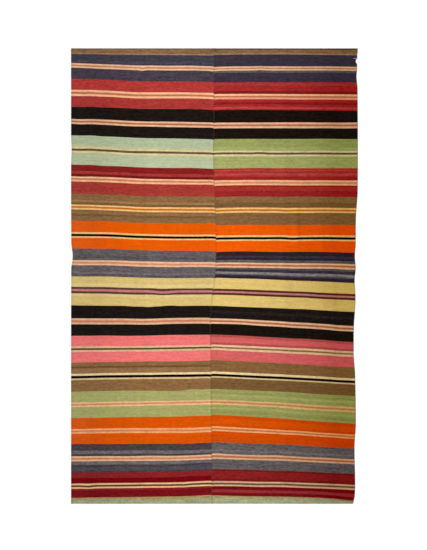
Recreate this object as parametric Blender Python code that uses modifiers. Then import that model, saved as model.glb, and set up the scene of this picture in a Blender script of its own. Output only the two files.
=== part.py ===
"""A striped flat-weave rug (kilim) of two loom-width panels, lying flat and face up.

The panels are woven separately, turned under in a narrow hem at both ends, and laced together down
the middle, selvedge to selvedge. The rug has been stored folded, so a soft crease runs down the middle
of each panel, and years of wear have pulled the right selvedge in and out.

Metres, +Z up. The origin is on the floor under the middle of the rug, and +Y points to its top end.
"""
from collections import namedtuple
import math

import bmesh
import bpy
import numpy as np

MM = 0.001

# The rug, lying flat
RUG_WIDTH = 1.700
RUG_LENGTH = 2.700
PANEL_WIDTH = RUG_WIDTH / 2
SEAM_GAP = 0.0003

# The cloth: wool weft packed over thin warps, doubled in the hems, corded along the selvedges
CLOTH_THICKNESS = 0.0025
HEM_THICKNESS = 2 * CLOTH_THICKNESS

# Distances between the lines of points that carry the plain cloth, and where five more of them follow
# the crease, beside the middle of the panel
ACROSS_STEP = 0.085
DOWN_STEP = 0.050
CREASE_LINES = (-36 * MM, -18 * MM, 0, 18 * MM, 36 * MM)

# The cloth's thickness near an edge: how far in, and the thickness there
Profile = namedtuple("Profile", "from_edge thickness")
SELVEDGE_PROFILE = (
    Profile(0.0 * MM, 1.5 * MM),
    Profile(2.0 * MM, 2.9 * MM),
    Profile(5.0 * MM, 3.3 * MM),
    Profile(9.0 * MM, 2.7 * MM),
    Profile(16.0 * MM, CLOTH_THICKNESS),
)
HEM_PROFILE = (
    Profile(0.0 * MM, 3.0 * MM),
    Profile(2.5 * MM, 4.6 * MM),
    Profile(6.0 * MM, HEM_THICKNESS),
    Profile(19.0 * MM, HEM_THICKNESS),
    Profile(25.0 * MM, 3.4 * MM),
    Profile(34.0 * MM, CLOTH_THICKNESS),
)

# How far each selvedge is pulled in from the rug's full width, down from the top end
Pull = namedtuple("Pull", "from_top inward")
LEFT_SELVEDGE = (
    Pull(0 * MM, 0 * MM),
    Pull(520 * MM, 0 * MM),
    Pull(600 * MM, 3 * MM),
    Pull(680 * MM, 0 * MM),
    Pull(1150 * MM, 1 * MM),
    Pull(1230 * MM, 10 * MM),
    Pull(1310 * MM, 1 * MM),
    Pull(1700 * MM, 0 * MM),
    Pull(2700 * MM, 0 * MM),
)
RIGHT_SELVEDGE = (
    Pull(0 * MM, 3 * MM),
    Pull(125 * MM, 5 * MM),
    Pull(166 * MM, 8 * MM),
    Pull(237 * MM, 2 * MM),
    Pull(628 * MM, 0 * MM),
    Pull(841 * MM, 1 * MM),
    Pull(1018 * MM, 12 * MM),
    Pull(1160 * MM, 13 * MM),
    Pull(1231 * MM, 18 * MM),
    Pull(1302 * MM, 13 * MM),
    Pull(1373 * MM, 19 * MM),
    Pull(1480 * MM, 14 * MM),
    Pull(1693 * MM, 25 * MM),
    Pull(1800 * MM, 25 * MM),
    Pull(1942 * MM, 16 * MM),
    Pull(2226 * MM, 12 * MM),
    Pull(2368 * MM, 20 * MM),
    Pull(2581 * MM, 16 * MM),
    Pull(2650 * MM, 18 * MM),
    Pull(2700 * MM, 30 * MM),
)

# Where the laced seam runs beside the rug's middle line, down from the top end
Wander = namedtuple("Wander", "from_top x")
SEAM_LINE = (
    Wander(0 * MM, -3 * MM),
    Wander(480 * MM, -3 * MM),
    Wander(620 * MM, -6 * MM),
    Wander(750 * MM, -2 * MM),
    Wander(900 * MM, 4 * MM),
    Wander(1080 * MM, 10 * MM),
    Wander(1230 * MM, 10 * MM),
    Wander(1330 * MM, 6 * MM),
    Wander(1400 * MM, -3 * MM),
    Wander(1490 * MM, -14 * MM),
    Wander(1670 * MM, -25 * MM),
    Wander(1820 * MM, -21 * MM),
    Wander(1980 * MM, -20 * MM),
    Wander(2290 * MM, -17 * MM),
    Wander(2700 * MM, -14 * MM),
)

# Where the cloth lifts off the floor: long soft creases left by folding, and low buckles beside the
# stretches where a selvedge is drawn tight. Each is a low rise over an ellipse.
Rise = namedtuple("Rise", "x from_top length width turned height")
RISES = (
    # the storage crease down the middle of the left panel
    Rise(-428 * MM, 320 * MM, 760 * MM, 44 * MM, 0, 2.2 * MM),
    Rise(-430 * MM, 1010 * MM, 820 * MM, 40 * MM, 0, 1.6 * MM),
    Rise(-426 * MM, 1830 * MM, 980 * MM, 44 * MM, 0, 1.8 * MM),
    Rise(-429 * MM, 2420 * MM, 420 * MM, 38 * MM, 0, 1.4 * MM),
    # the storage crease down the middle of the right panel
    Rise(420 * MM, 360 * MM, 620 * MM, 40 * MM, 0, 1.6 * MM),
    Rise(422 * MM, 690 * MM, 520 * MM, 44 * MM, 0, 2.4 * MM),
    Rise(421 * MM, 1500 * MM, 1000 * MM, 40 * MM, 0, 1.4 * MM),
    Rise(420 * MM, 2230 * MM, 760 * MM, 42 * MM, 0, 1.8 * MM),
    # shorter creases that show as soft streaks
    Rise(485 * MM, 1060 * MM, 300 * MM, 46 * MM, 0, 2.0 * MM),
    Rise(638 * MM, 1150 * MM, 240 * MM, 60 * MM, 0, 1.6 * MM),
    Rise(-340 * MM, 1490 * MM, 190 * MM, 60 * MM, 52, 2.0 * MM),
    Rise(-252 * MM, 1530 * MM, 300 * MM, 56 * MM, -8, 1.8 * MM),
    # buckles beside the drawn stretches of the selvedges
    Rise(-775 * MM, 1230 * MM, 260 * MM, 110 * MM, 0, 2.4 * MM),
    Rise(745 * MM, 1305 * MM, 230 * MM, 120 * MM, 0, 2.2 * MM),
    Rise(740 * MM, 1745 * MM, 420 * MM, 130 * MM, 0, 2.6 * MM),
    Rise(750 * MM, 2370 * MM, 220 * MM, 110 * MM, 0, 2.0 * MM),
)

# Wear at the top of the right selvedge: a worn bite, and a short slit between two wefts
BITE_FROM_TOP = 76 * MM
BITE_LENGTH = 30 * MM
BITE_DEPTH = 8 * MM
BITE_SIDES = 14
SLIT_FROM_TOP = 57 * MM
SLIT_LENGTH = 18 * MM
SLIT_WIDTH = 4 * MM
CUT_REACH = 30 * MM
CUT_HEIGHT = 20 * MM

YARN_COLOURS = {"left_panel": (0.36, 0.12, 0.08), "right_panel": (0.24, 0.07, 0.06)}
YARN_ROUGHNESS = 0.9


def through(at, stations, values):
    """A smooth line through the station values: a cubic between each two, level at each high and low,
    so that it never swings past them. Elsewhere the slope is the harmonic mean of its neighbours."""
    chords = np.diff(values) / np.diff(stations)
    before, after = np.append(chords[0], chords), np.append(chords, chords[-1])
    same_way = before * after > 0
    slopes = np.where(same_way, 2 * before * after / np.where(same_way, before + after, 1), 0)
    k = np.clip(np.searchsorted(stations, at) - 1, 0, len(stations) - 2)
    span = stations[k + 1] - stations[k]
    t = (at - stations[k]) / span
    start = (1 + 2 * t) * (1 - t) ** 2 * values[k] + t * (1 - t) ** 2 * span * slopes[k]
    end = t**2 * (3 - 2 * t) * values[k + 1] + t**2 * (t - 1) * span * slopes[k + 1]
    return start + end


def table_line(table, at):
    """The second column of a table, read at distances given in its first column."""
    rows = np.array(table)
    return through(at, rows[:, 0], rows[:, 1])


def left_selvedge_x(from_top):
    return -RUG_WIDTH / 2 + table_line(LEFT_SELVEDGE, from_top)


def right_selvedge_x(from_top):
    return RUG_WIDTH / 2 - table_line(RIGHT_SELVEDGE, from_top)


def left_of_seam_x(from_top):
    return table_line(SEAM_LINE, from_top) - SEAM_GAP / 2


def right_of_seam_x(from_top):
    return table_line(SEAM_LINE, from_top) + SEAM_GAP / 2


def lift(x, from_top):
    """Height of the cloth's underside: the tallest rise at each point, each a squared cosine."""
    height = np.zeros_like(x)
    for rise in RISES:
        angle = math.radians(rise.turned)
        over, down = x - rise.x, from_top - rise.from_top
        across = over * math.cos(angle) + down * math.sin(angle)
        along = down * math.cos(angle) - over * math.sin(angle)
        reach = np.hypot(along / (rise.length / 2), across / rise.width)
        height = np.maximum(height, rise.height * np.cos(np.minimum(reach, 1) * math.pi / 2) ** 2)
    return height


def profile_thickness(profile, from_edge):
    """Thickness at a distance in from an edge, straight between the profile's rows."""
    rows = np.array(profile)
    return np.interp(from_edge, rows[:, 0], rows[:, 1])


def stations(total, profile, step, extra):
    """Distances from one edge to the other: each edge's profile, a regular step, and some extra lines."""
    near = np.array([row.from_edge for row in profile])
    inner = np.linspace(near[-1], total - near[-1], round((total - 2 * near[-1]) / step) + 1)
    clear = [d for d in inner if all(abs(d - e) > step / 4 for e in extra)]
    return np.unique(np.concatenate([near, total - near, clear, extra]))


def yarn_material(name):
    material = bpy.data.materials.new(name + "_wool")
    material.use_nodes = True
    shader = material.node_tree.nodes["Principled BSDF"]
    shader.inputs["Base Color"].default_value = (*YARN_COLOURS[name], 1)
    shader.inputs["Roughness"].default_value = YARN_ROUGHNESS
    shader.inputs["Metallic"].default_value = 0.0
    return material


def panel(name, left_edge, right_edge, collection):
    """One woven panel: a grid laid between its two long edges, then given its thickness upwards."""
    crease_lines = [PANEL_WIDTH / 2 + beside for beside in CREASE_LINES]
    across = stations(PANEL_WIDTH, SELVEDGE_PROFILE, ACROSS_STEP, crease_lines)
    down = stations(RUG_LENGTH, HEM_PROFILE, DOWN_STEP, [])

    bm = bmesh.new()
    bmesh.ops.create_grid(bm, x_segments=len(across) - 1, y_segments=len(down) - 1, size=1)
    points = np.array([vertex.co for vertex in bm.verts])
    column = np.rint((points[:, 0] + 1) / 2 * (len(across) - 1)).astype(int)
    row = np.rint((1 - points[:, 1]) / 2 * (len(down) - 1)).astype(int)

    from_left, from_top = across[column], down[row]
    left, right = left_edge(from_top), right_edge(from_top)
    x = left + (right - left) * from_left / PANEL_WIDTH
    y = RUG_LENGTH / 2 - from_top
    for vertex, place in zip(bm.verts, np.stack([x, y, lift(x, from_top)], axis=1)):
        vertex.co = place
    bm.normal_update()

    mesh = bpy.data.meshes.new(name)
    bm.to_mesh(mesh)
    bm.free()
    mesh.shade_smooth()
    cloth = bpy.data.objects.new(name, mesh)
    cloth.data.materials.append(yarn_material(name))
    collection.objects.link(cloth)

    to_selvedge = np.minimum(from_left, PANEL_WIDTH - from_left)
    to_end = np.minimum(from_top, RUG_LENGTH - from_top)
    corded = profile_thickness(SELVEDGE_PROFILE, to_selvedge) / CLOTH_THICKNESS
    thickness = profile_thickness(HEM_PROFILE, to_end) * corded
    thickest = float(thickness.max())
    group = cloth.vertex_groups.new(name="thickness")
    for index, share in enumerate(thickness / thickest):
        group.add([index], float(share), "REPLACE")

    wall = cloth.modifiers.new("cloth_thickness", "SOLIDIFY")
    wall.thickness = thickest
    wall.offset = 1
    wall.vertex_group = group.name
    return cloth


def cutter(name, bm, collection):
    mesh = bpy.data.meshes.new(name)
    bm.to_mesh(mesh)
    bm.free()
    shape = bpy.data.objects.new(name, mesh)
    shape.hide_render = True
    shape.display_type = "WIRE"
    collection.objects.link(shape)
    return shape


def worn_bite(edge_x, collection):
    """A round bite out of the selvedge: an upright drum, stretched along the edge."""
    bm = bmesh.new()
    bmesh.ops.create_cone(
        bm, cap_ends=True, segments=BITE_SIDES, radius1=BITE_DEPTH, radius2=BITE_DEPTH, depth=CUT_HEIGHT
    )
    bmesh.ops.scale(bm, vec=(1, BITE_LENGTH / 2 / BITE_DEPTH, 1), verts=bm.verts)
    place = (edge_x, RUG_LENGTH / 2 - BITE_FROM_TOP, 0)
    bmesh.ops.translate(bm, vec=place, verts=bm.verts)
    return cutter("worn_bite_cut", bm, collection)


def open_slit(edge_x, collection):
    """A slit that runs in from the selvedge between two wefts: an upright wedge, closed at its tip."""
    bm = bmesh.new()
    bmesh.ops.create_cone(bm, cap_ends=True, segments=3, radius1=1, radius2=1, depth=CUT_HEIGHT)
    tip = max(bm.verts, key=lambda vertex: vertex.co.y).co.y
    back = min(vertex.co.y for vertex in bm.verts)
    for vertex in bm.verts:
        toward_tip = (vertex.co.y - back) / (tip - back)
        side = math.copysign(1, vertex.co.x) if toward_tip < 0.5 else 0
        widening = (SLIT_LENGTH + CUT_REACH) / SLIT_LENGTH
        x = edge_x + CUT_REACH - toward_tip * (SLIT_LENGTH + CUT_REACH)
        y = RUG_LENGTH / 2 - SLIT_FROM_TOP + side * SLIT_WIDTH / 2 * widening
        vertex.co = (x, y, vertex.co.z)
    bmesh.ops.recalc_face_normals(bm, faces=bm.faces)
    return cutter("open_slit_cut", bm, collection)


def cut_away(cloth, shape):
    cut = cloth.modifiers.new(shape.name, "BOOLEAN")
    cut.operation = "DIFFERENCE"
    cut.solver = "EXACT"
    cut.object = shape


for old in list(bpy.data.objects):
    bpy.data.objects.remove(old, do_unlink=True)

rug = bpy.data.collections.new("kilim")
cutters = bpy.data.collections.new("cutters")
bpy.context.scene.collection.children.link(rug)
bpy.context.scene.collection.children.link(cutters)

left_panel = panel("left_panel", left_selvedge_x, left_of_seam_x, rug)
right_panel = panel("right_panel", right_of_seam_x, right_selvedge_x, rug)

bite_edge = float(right_selvedge_x(np.array([BITE_FROM_TOP]))[0])
slit_edge = float(right_selvedge_x(np.array([SLIT_FROM_TOP]))[0])
cut_away(right_panel, worn_bite(bite_edge, cutters))
cut_away(right_panel, open_slit(slit_edge, cutters))
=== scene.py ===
"""The looks of a striped flat-weave rug (kilim) that lies flat and face up, seen straight from above.

Two loom-width panels of weft-faced wool are laced together down the middle. They carry the same plan of
stripes, but were dyed and woven apart, so their shades differ and their stripes miss each other a little
at the seam. Each panel is made as one sheet that turns under itself at both ends, and every line of points
across it follows a weft, so that the stripes are as crooked as the weaving is.

Metres, +Z up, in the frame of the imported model. from_top is the distance down from the rug's top end.
"""

from collections import namedtuple
import math

import bpy
import numpy as np
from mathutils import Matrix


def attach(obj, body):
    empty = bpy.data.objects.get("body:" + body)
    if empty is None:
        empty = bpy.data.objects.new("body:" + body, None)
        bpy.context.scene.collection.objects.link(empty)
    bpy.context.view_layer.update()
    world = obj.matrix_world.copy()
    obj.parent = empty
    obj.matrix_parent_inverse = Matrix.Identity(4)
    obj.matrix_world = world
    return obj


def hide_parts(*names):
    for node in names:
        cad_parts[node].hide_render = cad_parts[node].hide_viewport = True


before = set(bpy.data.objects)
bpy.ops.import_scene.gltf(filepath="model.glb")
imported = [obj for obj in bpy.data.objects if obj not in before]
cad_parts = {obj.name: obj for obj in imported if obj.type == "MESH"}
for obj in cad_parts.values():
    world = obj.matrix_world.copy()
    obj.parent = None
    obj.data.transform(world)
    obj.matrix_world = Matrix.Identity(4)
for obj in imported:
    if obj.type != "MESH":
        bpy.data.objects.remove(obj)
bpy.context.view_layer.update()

MM = 0.001

# The two woven panels. Each is a length of wool cloth about 85 cm wide, its weft beaten down until it
# hides the warps, with a corded selvedge down each long side. Both ends are turned under and sewn down.
# The tables are in mm, with x across from the rug's middle and from_top down from its top end.
RUG_WIDTH = 1.700
RUG_LENGTH = 2.700
PANEL_WIDTH = RUG_WIDTH / 2
SEAM_GAP = 0.0003

# How far each selvedge is pulled in from the rug's full width
Pull = namedtuple("Pull", "from_top inward")
LEFT_SELVEDGE = (
    Pull(0, 0),
    Pull(520, 0),
    Pull(600, 3),
    Pull(680, 0),
    Pull(1150, 1),
    Pull(1230, 10),
    Pull(1310, 1),
    Pull(1700, 0),
    Pull(2700, 0),
)
RIGHT_SELVEDGE = (
    Pull(0, 3),
    Pull(125, 5),
    Pull(166, 8),
    Pull(237, 2),
    Pull(628, 0),
    Pull(841, 1),
    Pull(1018, 12),
    Pull(1160, 13),
    Pull(1231, 18),
    Pull(1302, 13),
    Pull(1373, 19),
    Pull(1480, 14),
    Pull(1693, 25),
    Pull(1800, 25),
    Pull(1942, 16),
    Pull(2226, 12),
    Pull(2368, 20),
    Pull(2581, 16),
    Pull(2650, 18),
    Pull(2700, 30),
)

# Where the laced seam runs beside the rug's middle line
Wander = namedtuple("Wander", "from_top x")
SEAM_LINE = (
    Wander(0, -3),
    Wander(480, -3),
    Wander(620, -6),
    Wander(750, -2),
    Wander(900, 4),
    Wander(1080, 10),
    Wander(1230, 10),
    Wander(1330, 6),
    Wander(1400, -3),
    Wander(1490, -14),
    Wander(1670, -25),
    Wander(1820, -21),
    Wander(1980, -20),
    Wander(2290, -17),
    Wander(2700, -14),
)

# Where the cloth lifts off the floor: low rises, each over an ellipse with this length from end to end and
# this reach to either side. It is turned by so many degrees from running straight down the rug.
Rise = namedtuple("Rise", "x from_top length reach turned height")
RISES = (
    # the storage crease down the middle of the left panel
    Rise(-428, 320, 760, 44, 0, 2.2),
    Rise(-430, 1010, 820, 40, 0, 1.6),
    Rise(-426, 1830, 980, 44, 0, 1.8),
    Rise(-429, 2420, 420, 38, 0, 1.4),
    # the storage crease down the middle of the right panel
    Rise(420, 360, 620, 40, 0, 1.6),
    Rise(422, 690, 520, 44, 0, 2.4),
    Rise(421, 1500, 1000, 40, 0, 1.4),
    Rise(420, 2230, 760, 42, 0, 1.8),
    # shorter and sharper creases that show as streaks, bright on the left and dark on the right
    Rise(487, 1045, 360, 30, 0, 4.2),
    Rise(640, 1190, 220, 26, 0, 1.7),
    Rise(703, 1620, 920, 26, 0, 1.9),
    Rise(531, 2310, 170, 24, 0, 1.5),
    Rise(-541, 215, 180, 26, 0, 1.4),
    Rise(-352, 1500, 190, 40, 52, 2.4),
    Rise(-252, 1530, 300, 56, -8, 1.8),
    # buckles beside the drawn stretches of the selvedges
    Rise(-775, 1230, 260, 110, 0, 2.4),
    Rise(745, 1305, 230, 120, 0, 2.2),
    Rise(740, 1745, 420, 130, 0, 2.6),
    Rise(750, 2370, 220, 110, 0, 2),
)

# The cloth in from a selvedge: its thickness, and the height of its middle. The last cord is round.
Cord = namedtuple("Cord", "from_edge thickness middle")
SELVEDGE_CORD = (
    Cord(0, 1.1, 1.65),
    Cord(0.6, 2.1, 1.65),
    Cord(2, 3, 1.65),
    Cord(5, 3.3, 1.65),
    Cord(9, 2.7, 1.35),
    Cord(16, 2.5, 1.25),
    Cord(18, 2.5, 1.25),
)

# At the seam the two cords are pressed together, and stay this thick to their very edge
PRESSED_CORD = 2.7 * MM
PRESSED_REACH = 1 * MM

# The lines of points across the cloth at an end: their distance in from the end, and how far the cloth
# has turned there, in degrees. At -90 it lies underneath, face down, and at 90 it lies on top, face up.
HEM_ROWS = (
    *((inward * MM, -90) for inward in (19.5, 16.0, 12.0, 8.0, 4.5)),
    *((0 * MM, turned) for turned in range(-80, 81, 20)),
    *((inward * MM, 90) for inward in (4.5, 8.0, 12.0, 16.0, 19.0, 21.0, 23.5, 26.0, 28.5, 31.0, 34.0)),
)

# A hem has its full height up to its level line, and the cloth is back on the floor from the hem's end on.
# Its two layers lie a little apart, and the fold takes up some length of cloth.
HEM_LEVEL = 21 * MM
HEM_END = 34 * MM
HEM_AIR = 0.1 * MM
FOLD_LENGTH = 7 * MM

# The longest distances between the lines of points in the plain cloth
ACROSS_STEP = 10 * MM
DOWN_STEP = 8 * MM

# The dyed wool yarns: the colour, and how mottled the yarn is, as a share of its brightness
Yarn = namedtuple("Yarn", "colour mottled")
YARNS = {
    # the ground of the bands
    "camel": Yarn("#8c6847", 0.09),
    # camel painted darker as shade, for the fold at the top end
    "camel_fold_shade": Yarn("#5f4832", 0.08),
    "camel_dusty": Yarn("#a3876a", 0.08),
    "slate": Yarn("#433f4b", 0.1),
    "slate_grey": Yarn("#49414c", 0.11),
    "slate_pale": Yarn("#4d4955", 0.1),
    "aubergine": Yarn("#3e3543", 0.09),
    "madder": Yarn("#ba3c37", 0.08),
    "madder_deep": Yarn("#af3a35", 0.08),
    "madder_red": Yarn("#ad2c2c", 0.08),
    "madder_dark": Yarn("#84211c", 0.08),
    "madder_pink": Yarn("#be4945", 0.08),
    "madder_shade": Yarn("#9f2727", 0.08),
    "soot": Yarn("#1e1815", 0.14),
    "soot_brown": Yarn("#1b140e", 0.14),
    "soot_pale": Yarn("#2b2220", 0.14),
    "mint": Yarn("#b5c19d", 0.035),
    "mint_pale": Yarn("#bcc6a1", 0.035),
    "mint_yellow": Yarn("#c6c596", 0.04),
    "leaf": Yarn("#9fa661", 0.05),
    "leaf_yellow": Yarn("#aaaf69", 0.05),
    "crimson": Yarn("#8b2020", 0.09),
    "crimson_bright": Yarn("#ad3a36", 0.08),
    "crimson_pale": Yarn("#9a3433", 0.08),
    "crimson_dark": Yarn("#761c18", 0.09),
    "brick": Yarn("#ab3b33", 0.08),
    "brick_red": Yarn("#af362e", 0.08),
    "walnut": Yarn("#8f6941", 0.07),
    "walnut_pale": Yarn("#a57b51", 0.07),
    "walnut_light": Yarn("#97724a", 0.07),
    "walnut_brown": Yarn("#89633b", 0.07),
    "walnut_dark": Yarn("#7d5b36", 0.07),
    "walnut_deep": Yarn("#6b4c2c", 0.07),
    "orange": Yarn("#ed5e05", 0.03),
    "orange_bright": Yarn("#f75f05", 0.035),
    "heather": Yarn("#686061", 0.1),
    "heather_deep": Yarn("#5f5859", 0.12),
    "heather_pale": Yarn("#756c6d", 0.1),
    "navy": Yarn("#30252e", 0.1),
    "navy_pale": Yarn("#3d3542", 0.1),
    "ash": Yarn("#615c5b", 0.11),
    "ash_pale": Yarn("#8c8685", 0.11),
    "straw": Yarn("#dfc479", 0.035),
    "straw_gold": Yarn("#e9c978", 0.035),
    "straw_pale": Yarn("#e6cd88", 0.035),
    "pink": Yarn("#f57976", 0.04),
    "rose": Yarn("#db6563", 0.045),
    "rose_deep": Yarn("#bb5450", 0.05),
    "moss": Yarn("#aaa968", 0.04),
    "moss_deep": Yarn("#9d9f5b", 0.045),
    "moss_shade": Yarn("#939453", 0.045),
    "rust_orange": Yarn("#dd5605", 0.04),
    "rust_deep": Yarn("#d74d05", 0.045),
    "iron": Yarn("#494144", 0.11),
    "iron_pale": Yarn("#6e676a", 0.11),
    "iron_blue": Yarn("#514b55", 0.11),
    "stone": Yarn("#665d5c", 0.11),
    "russet": Yarn("#8c2324", 0.08),
    "russet_dark": Yarn("#770712", 0.09),
    "oxblood": Yarn("#791119", 0.1),
    "sage": Yarn("#aba678", 0.07),
    "sage_grey": Yarn("#a2a680", 0.08),
    "sage_pale": Yarn("#abaf87", 0.08),
    "olive": Yarn("#a8945f", 0.08),
    # the lines of the narrow stripes
    "cream": Yarn("#f1c19a", 0.05),
    "cream_dull": Yarn("#e5b98f", 0.05),
    "cream_gold": Yarn("#fec880", 0.05),
    "cream_grey": Yarn("#e2d29e", 0.05),
    "ecru": Yarn("#f3d7a3", 0.05),
    "apricot": Yarn("#fec292", 0.05),
    "apricot_orange": Yarn("#f7aa6e", 0.05),
    "peach": Yarn("#f4a87c", 0.05),
    "sand": Yarn("#dcae89", 0.05),
    "sand_gold": Yarn("#e1c28c", 0.05),
    "sand_olive": Yarn("#deb577", 0.05),
    "sand_pale": Yarn("#ebbf8a", 0.05),
    "copper": Yarn("#ca875c", 0.05),
    "copper_deep": Yarn("#c27454", 0.05),
    "copper_rose": Yarn("#d4815e", 0.05),
    "copper_pale": Yarn("#df8f69", 0.05),
    "copper_red": Yarn("#cf6b4f", 0.05),
    "rust": Yarn("#b86c46", 0.05),
    "rust_gold": Yarn("#c17347", 0.05),
    "ochre": Yarn("#c86e0b", 0.05),
    "dusty_pink": Yarn("#c87f7d", 0.05),
    "bark": Yarn("#51401f", 0.1),
    "bark_pale": Yarn("#675639", 0.1),
    "bark_olive": Yarn("#8b713d", 0.07),
    "wine": Yarn("#5f3e30", 0.1),
    "wine_red": Yarn("#552a20", 0.1),
    "soot_deep": Yarn("#0d0705", 0.1),
}

# One row for each band of the stripes, in mm down the seam: where it starts, the middle of its narrow
# stripe and that stripe's width, then the yarns, which are the ground above the stripe, the stripe's two
# outer lines, its inner line with that line's share of the stripe, and the ground below it. Low is how
# far below the stripe's middle the inner line lies.
Band = namedtuple("Band", "start stripe width above outer inner share below low", defaults=[0])
LEFT_BANDS = (
    Band(0, 0, 0, "camel", "camel", "camel", 0, "camel"),
    Band(41, 119, 28, "slate", "cream", "copper", 0.33, "slate_grey"),
    Band(198, 281, 36, "madder", "apricot", "copper_deep", 0.33, "madder_deep"),
    Band(363, 455, 31, "soot", "cream", "rust", 0.34, "soot"),
    Band(538, 623, 35, "mint", "cream_grey", "bark_pale", 0.38, "mint_pale"),
    Band(712, 793, 29, "crimson", "apricot", "copper_rose", 0.33, "brick"),
    Band(876, 957, 30, "walnut", "cream_gold", "ochre", 0.34, "walnut"),
    Band(1038, 1120, 33, "orange", "cream_gold", "soot_deep", 0.42, "orange", 1),
    Band(1200, 1281, 29, "heather", "cream", "copper_pale", 0.36, "heather"),
    Band(1360, 1439, 37, "straw", "wine", "dusty_pink", 0.34, "straw"),
    Band(1525, 1613, 34, "soot", "cream_dull", "copper_rose", 0.36, "soot"),
    Band(1696, 1773, 33, "pink", "cream_dull", "bark", 0.30, "pink"),
    Band(1849, 1935, 36, "walnut", "ecru", "soot_deep", 0.42, "walnut", 2),
    Band(2018, 2097, 28, "moss", "sand_pale", "copper_pale", 0.36, "moss"),
    Band(2175, 2259, 29, "rust_orange", "apricot_orange", "copper_rose", 0.33, "rust_orange"),
    Band(2337, 2422, 28, "iron", "cream_dull", "copper_rose", 0.36, "iron"),
    Band(2499, 2578, 30, "russet", "sand_pale", "bark", 0.36, "oxblood"),
    Band(2647, 2700, 0, "sage", "sage", "sage", 0, "sage"),
)
RIGHT_BANDS = (
    Band(0, 0, 0, "camel", "camel", "camel", 0, "camel"),
    Band(38, 120, 24, "aubergine", "cream", "copper", 0.33, "aubergine"),
    Band(200, 285, 31, "madder_red", "apricot", "copper_deep", 0.33, "madder_red"),
    Band(365, 457, 34, "soot_brown", "cream", "copper_red", 0.34, "soot_brown"),
    Band(536, 623, 34, "leaf", "cream_grey", "bark_pale", 0.36, "leaf_yellow"),
    Band(711, 798, 31, "brick_red", "apricot", "copper_pale", 0.33, "brick_red"),
    Band(880, 961, 30, "walnut", "cream_gold", "ochre", 0.34, "walnut_brown"),
    Band(1048, 1126, 33, "orange_bright", "cream_gold", "soot_deep", 0.42, "orange_bright", 1),
    Band(1205, 1283, 29, "navy", "cream", "rust_gold", 0.36, "navy"),
    Band(1359, 1441, 36, "straw_gold", "wine_red", "dusty_pink", 0.3, "straw_gold"),
    Band(1525, 1614, 31, "soot", "cream", "rust", 0.34, "soot_brown"),
    Band(1694, 1771, 33, "rose", "cream", "bark_olive", 0.30, "rose"),
    Band(1846, 1931, 36, "walnut_brown", "ecru", "soot_deep", 0.42, "walnut_dark", 3),
    Band(2018, 2096, 29, "moss_deep", "sand_olive", "copper", 0.36, "moss_deep"),
    Band(2169, 2253, 27, "rust_deep", "apricot_orange", "rust_gold", 0.33, "rust_deep"),
    Band(2332, 2417, 31, "stone", "sand", "rust", 0.36, "stone"),
    Band(2494, 2579, 31, "crimson", "sand", "bark_pale", 0.36, "oxblood"),
    Band(2649, 2700, 0, "sage", "sage", "sage", 0, "sage"),
)

# Stretches where another lot of yarn was woven in: its start and width in mm, at the seam
Lot = namedtuple("Lot", "start width yarn")
LEFT_LOTS = (
    # painted shade at the top fold
    Lot(0, 6, "camel_fold_shade"),
    Lot(33, 8, "camel_dusty"),
    Lot(83, 11, "slate_pale"),
    Lot(593, 12, "mint_yellow"),
    Lot(640, 10, "mint_yellow"),
    Lot(748, 16, "crimson_bright"),
    Lot(764, 15, "crimson_dark"),
    Lot(914, 12, "walnut_pale"),
    Lot(929, 12, "walnut_dark"),
    Lot(984, 10, "walnut_light"),
    Lot(996, 12, "walnut_dark"),
    Lot(1236, 18, "heather_deep"),
    Lot(1332, 11, "heather_pale"),
    Lot(1345, 15, "heather_deep"),
    Lot(1397, 20, "straw_pale"),
    Lot(1459, 14, "straw_pale"),
    Lot(1874, 9, "walnut_deep"),
    Lot(1888, 28, "walnut_light"),
    Lot(1945, 9, "sand_gold"),
    Lot(2376, 20, "iron_pale"),
    Lot(2438, 17, "iron_pale"),
    Lot(2470, 20, "iron_blue"),
    Lot(2531, 29, "russet_dark"),
    Lot(2594, 10, "crimson"),
    Lot(2647, 16, "olive"),
    Lot(2668, 32, "sage_grey"),
)
RIGHT_LOTS = (
    # painted shade at the top fold
    Lot(0, 7, "camel_fold_shade"),
    Lot(31, 7, "camel_dusty"),
    Lot(133, 12, "ash"),
    Lot(203, 17, "madder_deep"),
    Lot(253, 16, "madder_dark"),
    Lot(290, 10, "peach"),
    Lot(319, 12, "crimson"),
    Lot(346, 12, "madder_pink"),
    Lot(585, 18, "leaf_yellow"),
    Lot(721, 6, "madder_pink"),
    Lot(741, 14, "madder_pink"),
    Lot(763, 18, "madder_shade"),
    Lot(813, 10, "madder_shade"),
    Lot(846, 34, "madder_shade"),
    Lot(916, 26, "walnut_dark"),
    Lot(1229, 12, "navy_pale"),
    Lot(1253, 14, "ash"),
    Lot(1300, 7, "ash"),
    Lot(1307, 12, "navy_pale"),
    Lot(1321, 12, "ash_pale"),
    Lot(1333, 5, "ash"),
    Lot(1338, 6, "navy_pale"),
    Lot(1554, 14, "soot_pale"),
    Lot(1694, 14, "rose_deep"),
    Lot(1740, 14, "rose_deep"),
    Lot(1943, 7, "sand_gold"),
    Lot(2034, 10, "moss_shade"),
    Lot(2048, 14, "moss"),
    Lot(2125, 9, "moss"),
    Lot(2143, 13, "moss_shade"),
    Lot(2190, 34, "rust_orange"),
    Lot(2374, 13, "heather_pale"),
    Lot(2458, 18, "heather_deep"),
    Lot(2494, 10, "crimson_dark"),
    Lot(2550, 14, "crimson_dark"),
    Lot(2594, 12, "russet_dark"),
    Lot(2614, 16, "crimson_pale"),
    Lot(2649, 7, "olive"),
    Lot(2664, 36, "sage_pale"),
)

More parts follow.
